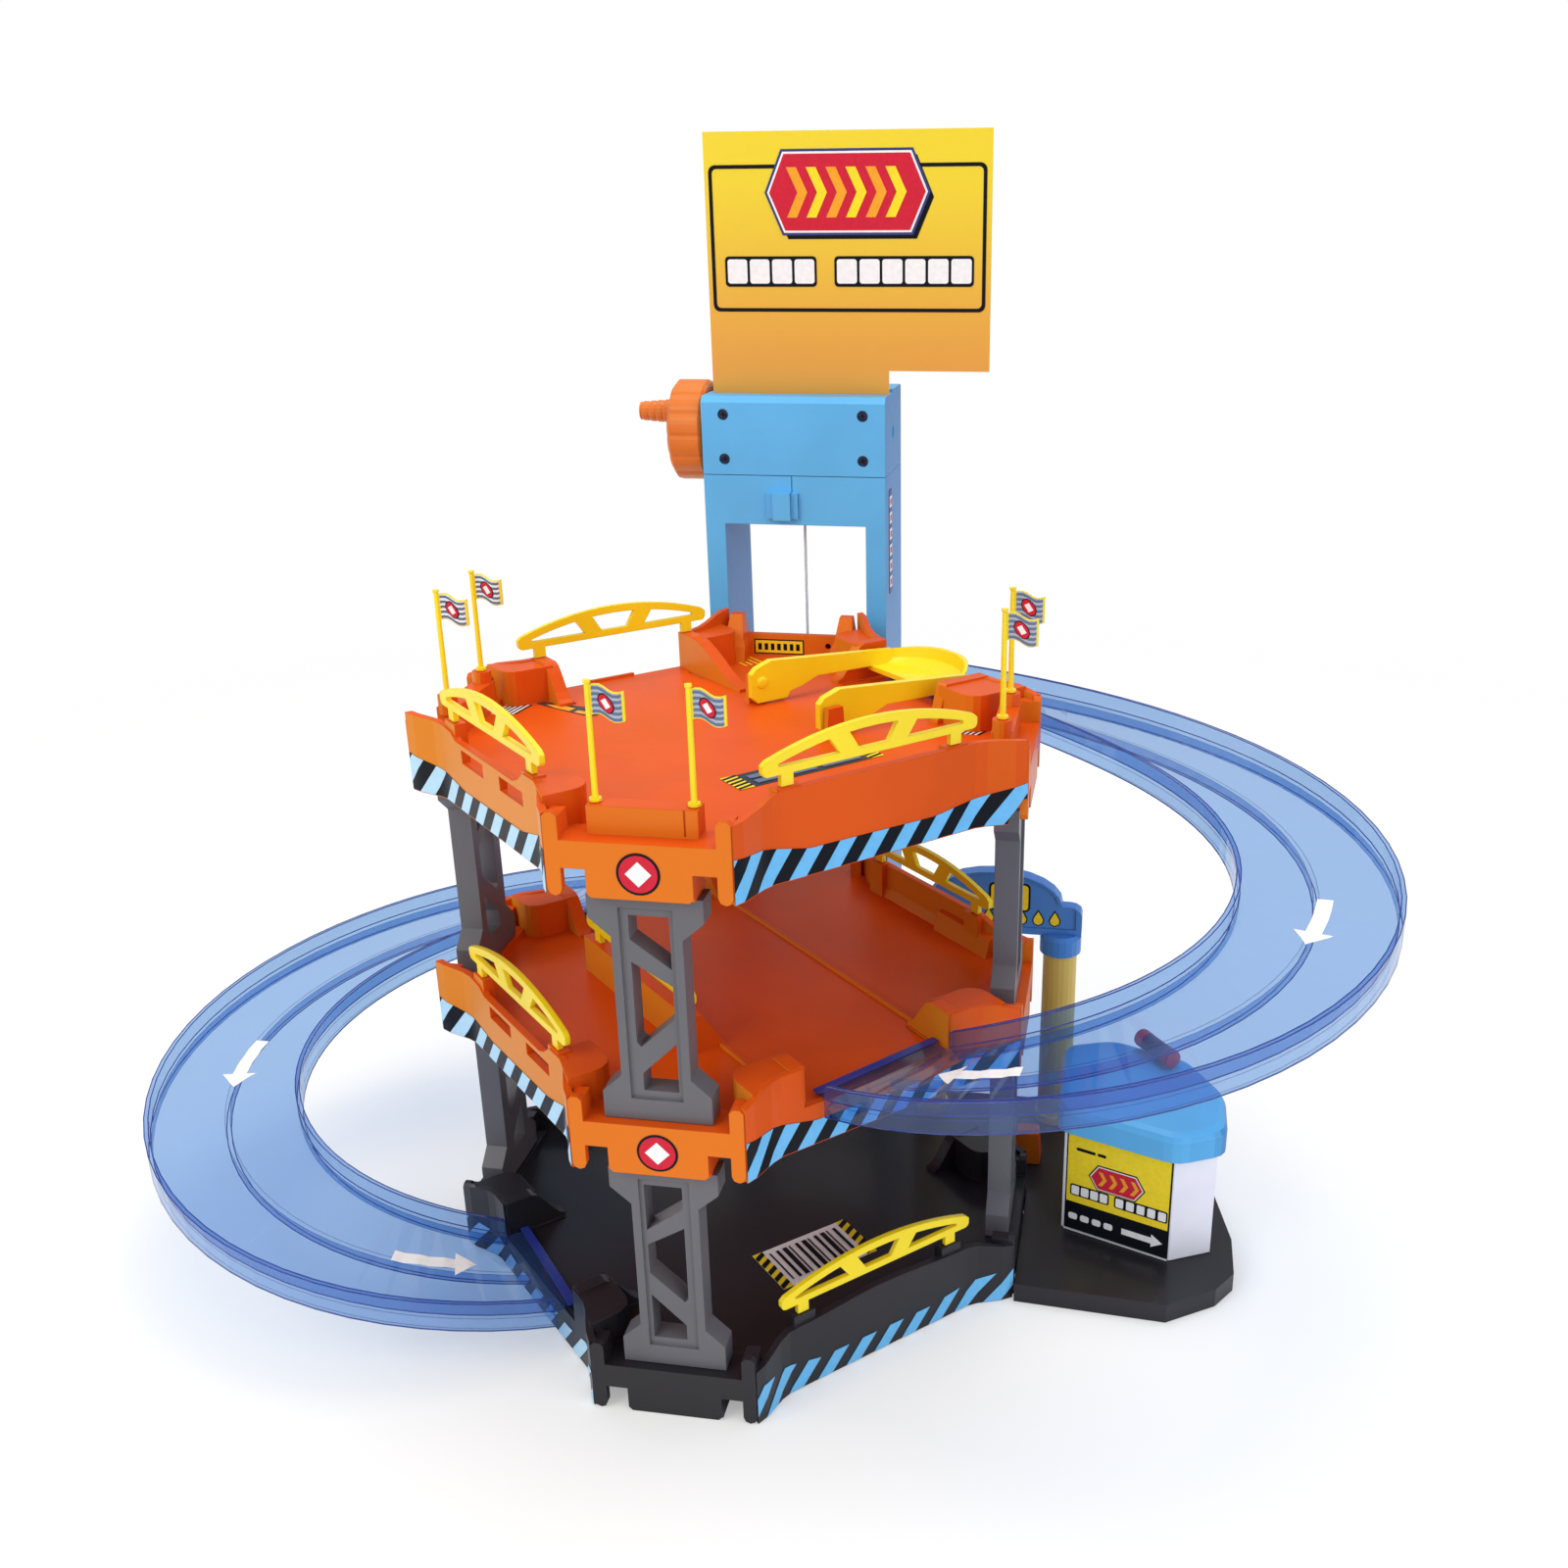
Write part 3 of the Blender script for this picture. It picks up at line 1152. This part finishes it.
def sign_card(material):
    card_y = TOWER_FRONT + CARD_FROM_FRONT
    low = HOUSING_TOP - CARD_TUCK + TOUCH
    outline = ((-CARD_LEFT, low), (CARD_STEM, low), (CARD_STEM, CARD_STEP), (CARD_RIGHT, CARD_STEP),
               (CARD_RIGHT, CARD_TOP), (-CARD_LEFT, CARD_TOP))
    card = add_object("sign_card", prism(outline, -CARD_THICK / 2, CARD_THICK / 2, UPRIGHT), material)
    card.location.y = card_y
    return card


def gate_arm_outline():
    """Side view of a gate arm, out from the pivot: deep at the pivot and arched below."""
    tall = GATE_ARM_HEIGHT
    heel = tall * 0.28
    low = GATE_UNDERSIDE
    foot = GATE_FOOT_LENGTH
    return ((-heel / 2, 0.0), (foot, 0.0), (foot + low / 2, low * 0.7), (foot + 2 * low, low), (foot + 4 * low, low * 1.8),
            (GATE_REACH - foot, low * 1.6), (GATE_REACH - low, low), (GATE_REACH, low), (GATE_REACH, GATE_TIP_HEIGHT),
            (heel, tall), (-heel / 2, tall - heel / 2), (-heel, tall - heel), (-heel, heel / 2))


def gate_scoop(pivot_height):
    """The dish between the arms' tips: a low bed that curls up to a bulging rim."""
    middle = (GATE_FAR - GATE_NEAR) / 2
    half = (GATE_FAR + GATE_NEAR) / 2 + GATE_ARM_THICK / 4
    thick = GATE_SCOOP_THICK
    low = GATE_UNDERSIDE + TOUCH - pivot_height
    rings = []
    for share in stations(-1.0, 1.0, 14):
        along = middle + half * share
        bow = 1 - abs(share) ** 2.5
        rim = GATE_REACH - thick + GATE_SCOOP_BULGE * bow
        start = GATE_REACH - GATE_SCOOP_BED
        bend = start + 0.7 * (rim - start)
        top = GATE_TIP_HEIGHT - TOUCH + GATE_SCOOP_RISE * bow - pivot_height
        rings.append([Vector((out, along, z)) for out, z in
                      ((start, low), (bend, low), (rim + thick / 2, low + 0.45 * (top - low)), (rim + thick, top),
                       (rim, top), (rim - thick / 2, low + 0.5 * (top - low)), (bend - thick / 2, low + thick), (start, low + thick))])
    return loft(rings)


def track_gate(material):
    """Two arms hinged on the top deck, joined at the track's end by a dished scoop."""
    pivot_height = GATE_ARM_HEIGHT * 0.5
    gate = None
    for along in (-GATE_NEAR, GATE_FAR):
        arm = loft([[Vector((out, along + shift, z - pivot_height)) for out, z in gate_arm_outline()]
                    for shift in (-GATE_ARM_THICK / 2, GATE_ARM_THICK / 2)])
        gate = add_object("track_gate", arm, material) if gate is None else fuse(gate, arm)
    fuse(gate, gate_scoop(pivot_height))
    for along in (-GATE_NEAR, GATE_FAR):
        cut(gate, rod((0, along - GATE_ARM_THICK, 0), (0, along + GATE_ARM_THICK, 0), GATE_PIN_RADIUS + TOUCH, 12))
    centre = BACK_RIGHT.at(0.0, GATE_INNER_OUT, 2 * LEVEL_PITCH + FLOOR_TOP + GATE_LIFT + pivot_height)
    gate.matrix_world = Matrix.Translation(centre) @ Matrix.Rotation(math.radians(45), 4, "Z")
    return gate


def gate_mounts(deck):
    """Pivot ears on the top deck, outside the arms, each with a pin that reaches into its arm."""
    height = FLOOR_TOP + GATE_LIFT + GATE_ARM_HEIGHT * 0.5
    for along, sign in ((-GATE_NEAR, -1), (GATE_FAR, 1)):
        near = along + sign * (GATE_ARM_THICK / 2 + RUNNING_GAP)
        far = near + sign * 0.003
        near, far = sorted((near, far))
        outline = ((GATE_INNER_OUT - 0.0045, FLOOR_MIDDLE), (GATE_INNER_OUT - 0.0035, height + 0.003),
                   (GATE_INNER_OUT + 0.0035, height + 0.003), (GATE_INNER_OUT + 0.0045, FLOOR_MIDDLE))
        fuse(deck, side_slice(BACK_RIGHT, outline, near, far))
        start = BACK_RIGHT.at(along - sign * GATE_ARM_THICK / 2, GATE_INNER_OUT, height)
        end = BACK_RIGHT.at(along + sign * (GATE_ARM_THICK / 2 + RUNNING_GAP + 0.002), GATE_INNER_OUT, height)
        fuse(deck, rod(start, end, GATE_PIN_RADIUS, 12))


def beside_deck(points):
    """Places given by their distance past the right short side and by y."""
    return tuple((SHORT_OUT + x, y) for x, y in points)


# The apron follows the deck's right short side and back right long side at a small gap.
APRON_GAP = 0.0008
APRON_BACK = 0.116
APRON_INNER = CORNER_OUT / DIAGONAL + APRON_GAP
FORECOURT = beside_deck(((TOUCH, -SHORT_HALF - WALL), (0.065, -0.040), (0.086, -0.026), (0.094, -0.014), (0.094, 0.010),
                         (0.087, 0.045), (0.065, 0.085), (0.033, APRON_BACK)))
FORECOURT += ((APRON_INNER - APRON_BACK + 2 * SILL_WING, APRON_BACK), (APRON_INNER - APRON_BACK + SILL_WING, APRON_BACK - SILL_WING),
              (SHORT_OUT + TOUCH, APRON_INNER - SHORT_OUT - TOUCH))
BOOTH_PLAN = beside_deck(((0.018, 0.008), (0.066, -0.010), (0.084, -0.001), (0.084, 0.026), (0.069, 0.052),
                          (0.037, 0.065), (0.018, 0.058)))
LAMP_PLACE = beside_deck((LAMP_SPOT,))[0]
KERB_PLACE = beside_deck((KERB_SPOT,))[0]


def offset(outline, distance):
    """Moves each edge of a counter-clockwise outline outward by the distance."""
    count = len(outline)
    moved = []
    for i in range(count):
        before, here, after = (Vector(outline[(i + k) % count]) for k in (-1, 0, 1))
        first = (here - before).normalized()
        second = (after - here).normalized()
        normal_a = Vector((first.y, -first.x))
        normal_b = Vector((second.y, -second.x))
        mitre = (normal_a + normal_b).normalized()
        moved.append(tuple(here + mitre * (distance / max(mitre.dot(normal_a), 0.3))))
    return moved


def softened(outline, reach):
    """Rounds each corner of an outline with a short curve that starts the reach before it."""
    count = len(outline)
    points = []
    for i in range(count):
        before, here, after = (Vector(outline[(i + k) % count]) for k in (-1, 0, 1))
        start = here + (before - here).normalized() * reach
        end = here + (after - here).normalized() * reach
        for t in stations(0.0, 1.0, 3):
            points.append(tuple(start * (1 - t) ** 2 + here * 2 * t * (1 - t) + end * t * t))
    return points


def forecourt_plate(material):
    """The black apron round the right side, hollow from below."""
    plate = add_object("forecourt_plate", prism(FORECOURT, 0.0, PLATE_HEIGHT), material)
    cut(plate, prism(offset(FORECOURT, -PLATE_SKIN), -PLATE_SKIN, PLATE_HEIGHT - PLATE_SKIN))
    return plate


def booth(body_material, roof_material):
    body = add_object("booth_body", prism(BOOTH_PLAN, BOOTH_LOW, BOOTH_TOP), body_material)
    cut(body, prism(offset(BOOTH_PLAN, -BOOTH_SKIN), BOOTH_LOW - BOOTH_SKIN, BOOTH_TOP - BOOTH_SKIN))
    low = BOOTH_TOP + TOUCH
    rings = []
    for inset, rise in ((0.0, 0.0), (0.0, ROOF_SKIRT), (0.3 * ROOF_INSET, 0.7 * ROOF_HEIGHT + 0.3 * ROOF_SKIRT), (ROOF_INSET, ROOF_HEIGHT)):
        plan = softened(offset(BOOTH_PLAN, ROOF_OVERHANG - inset), ROOF_CORNER)
        rings.append([Vector((x, y, low + rise)) for x, y in plan])
    roof = smooth(add_object("booth_roof", loft(rings), roof_material))
    cut(roof, prism(offset(BOOTH_PLAN, -BOOTH_SKIN), low - BOOTH_SKIN, low + ROOF_HEIGHT - 2 * BOOTH_SKIN))
    return body, roof


def wash_kerb(material):
    """A small tapered block on the apron beside the wash."""
    low = PLATE_HEIGHT + TOUCH
    rings = []
    for taper, height in ((0.0, low), (KERB_TAPER, low + KERB_HEIGHT - KERB_TAPER), (2 * KERB_TAPER, low + KERB_HEIGHT)):
        x, y = KERB_LENGTH / 2 - taper, KERB_WIDTH / 2 - taper
        corners = ((-x, -y), (x, -y), (x, y), (-x, y))
        rings.append([Vector((KERB_PLACE[0] + a, KERB_PLACE[1] + b, height)) for a, b in corners])
    return add_object("wash_kerb", loft(rings), material)


def roof_lamp(material):
    """A round lamp lying on the booth's roof, on a short saddle."""
    low = BOOTH_TOP + 2 * TOUCH + ROOF_HEIGHT
    centre = Vector((*LAMP_PLACE, low + LAMP_LIFT + LAMP_RADIUS))
    run = Vector((0.6, -0.8, 0.0)) * LAMP_LENGTH / 2
    lamp = add_object("roof_lamp", rod(centre - run, centre + run, LAMP_RADIUS, 16), material)
    foot = LAMP_RADIUS / 2
    fuse(lamp, block((centre.x - foot, centre.y - foot, low), (centre.x + foot, centre.y + foot, centre.z)))
    return smooth(lamp)


def wash_columns():
    return [WASH_CENTRE - WASH_SPREAD / 2, WASH_CENTRE + WASH_SPREAD / 2]


def wash_column(name, x, material):
    low = PLATE_HEIGHT + TOUCH
    profile = ((COLUMN_RADIUS * 1.15, low), (COLUMN_RADIUS * 1.15, low + 0.004), (COLUMN_RADIUS, low + 0.004), (COLUMN_RADIUS * 0.96, COLUMN_TOP))
    column = add_object(name, turned(profile, 20), material)
    column.location = (x, WASH_BACK, 0.0)
    return smooth(column)


def wash_sign_outline():
    """An arch with a stepped shoulder at each side, above the columns' capitals."""
    reach = WASH_SPREAD / 2 + COLUMN_RADIUS + 0.0015
    low = COLUMN_TOP + WASH_CAPITAL + TOUCH
    shoulder = low + WASH_SHOULDER * 0.75
    step = 0.0095
    right = [(reach, low), (reach, shoulder - 0.004)]
    for k in range(4):
        angle = math.pi / 2 * k / 3
        right.append((reach - 0.006 + 0.006 * math.cos(angle), shoulder - 0.004 + 0.004 * math.sin(angle)))
    width = reach - step
    for k in range(7):
        angle = math.pi / 2 * k / 6
        right.append((width * math.cos(angle), shoulder + (WASH_SIGN_TOP - shoulder) * math.sin(angle)))
    cleaned = []
    for point in right:
        if not cleaned or (Vector(point) - Vector(cleaned[-1])).length > 1e-5:
            cleaned.append(point)
    left = [(-x, z) for x, z in reversed(cleaned[:-1])]
    return cleaned + left


def wash_sign(material):
    """Arched sign board with a sunk face, standing on round capitals over the columns."""
    sign = add_object("wash_sign", prism(wash_sign_outline(), -WASH_SIGN_THICK / 2, WASH_SIGN_THICK / 2, UPRIGHT), material)
    for x in wash_columns():
        local = x - WASH_CENTRE
        low = COLUMN_TOP + TOUCH
        profile = ((COLUMN_RADIUS * 1.18, low), (COLUMN_RADIUS * 1.18, low + WASH_CAPITAL - 0.001), (COLUMN_RADIUS * 1.05, low + WASH_CAPITAL + 0.001))
        fuse(sign, turned(profile, 20, Matrix.Translation((local, 0, 0))))
    sunk = [(x * 0.93, COLUMN_TOP + WASH_CAPITAL + 0.0035 + (z - COLUMN_TOP - WASH_CAPITAL) * 0.86) for x, z in wash_sign_outline()]
    cut(sign, prism(sunk, WASH_SIGN_THICK / 2 - 0.001, WASH_SIGN_THICK, UPRIGHT))
    sign.location = (WASH_CENTRE, WASH_BACK, 0.0)
    return smooth(sign)


def main():
    clear_scene()
    orange = finish("orange_plastic", (0.72, 0.10, 0.02), 0.35)
    black = finish("black_plastic", (0.02, 0.02, 0.022), 0.45)
    grey = finish("grey_plastic", (0.12, 0.12, 0.13), 0.45)
    yellow = finish("yellow_plastic", (0.95, 0.66, 0.02), 0.35)
    light_blue = finish("light_blue_plastic", (0.15, 0.47, 0.80), 0.35)
    track_blue = finish("clear_blue_plastic", (0.10, 0.26, 0.70), 0.10, alpha=0.5)
    knob_orange = finish("knob_plastic", (0.76, 0.15, 0.02), 0.35)
    card = finish("printed_card", (0.95, 0.62, 0.05), 0.6)
    thread = finish("white_string", (0.80, 0.80, 0.80), 0.8)
    pale = finish("pale_plastic", (0.68, 0.68, 0.82), 0.4)
    sign_blue = finish("sign_blue_plastic", (0.05, 0.17, 0.52), 0.4)
    tan = finish("tan_plastic", (0.62, 0.42, 0.09), 0.45)
    red = finish("red_plastic", (0.60, 0.03, 0.03), 0.4)

    base_deck(black)
    middle_deck(orange)
    top_deck(orange)
    for place, turn in (("front", FRONT), ("right", RIGHT), ("left", LEFT)):
        lattice_post(f"{place}_lower_post", turn, 0, grey)
        lattice_post(f"{place}_upper_post", turn, 1, grey)
    railing("front_right_top_railing", FRONT_RIGHT, 2, yellow)
    railing("front_left_top_railing", FRONT_LEFT, 2, yellow)
    railing("back_left_top_railing", BACK_LEFT, 2, yellow)
    railing("front_left_middle_railing", FRONT_LEFT, 1, yellow)
    railing("back_right_middle_railing", BACK_RIGHT, 1, yellow)
    railing("inner_middle_railing", FRONT_LEFT, 1, yellow, out=INNER_RAIL_OUT)
    railing("front_right_base_railing", FRONT_RIGHT, 0, yellow)
    for place, turn, height in (("front", FRONT, BLOCK_TOP), ("right", RIGHT, FLAG_BOSS_TOP), ("left", LEFT, FLAG_BOSS_TOP)):
        flag(f"{place}_flag_a", turn, -1, height, yellow)
        flag(f"{place}_flag_b", turn, 1, height, yellow)
    spiral_track("right_track", 1, 2, track_blue)
    spiral_track("left_track", -1, 1, track_blue)
    lower_tower(light_blue)
    upper_tower(light_blue)
    winch_housing(light_blue)
    winch_drum(grey)
    crank_wheel(knob_orange)
    crank_handle(knob_orange)
    lift_cage(orange)
    lift_string(thread)
    sign_card(card)
    track_gate(yellow)
    forecourt_plate(black)
    booth(pale, light_blue)
    roof_lamp(red)
    wash_kerb(orange)
    for place, x in zip(("left", "right"), wash_columns()):
        wash_column(f"wash_{place}_column", x, tan)
    wash_sign(sign_blue)


if __name__ == "__main__":
    main()
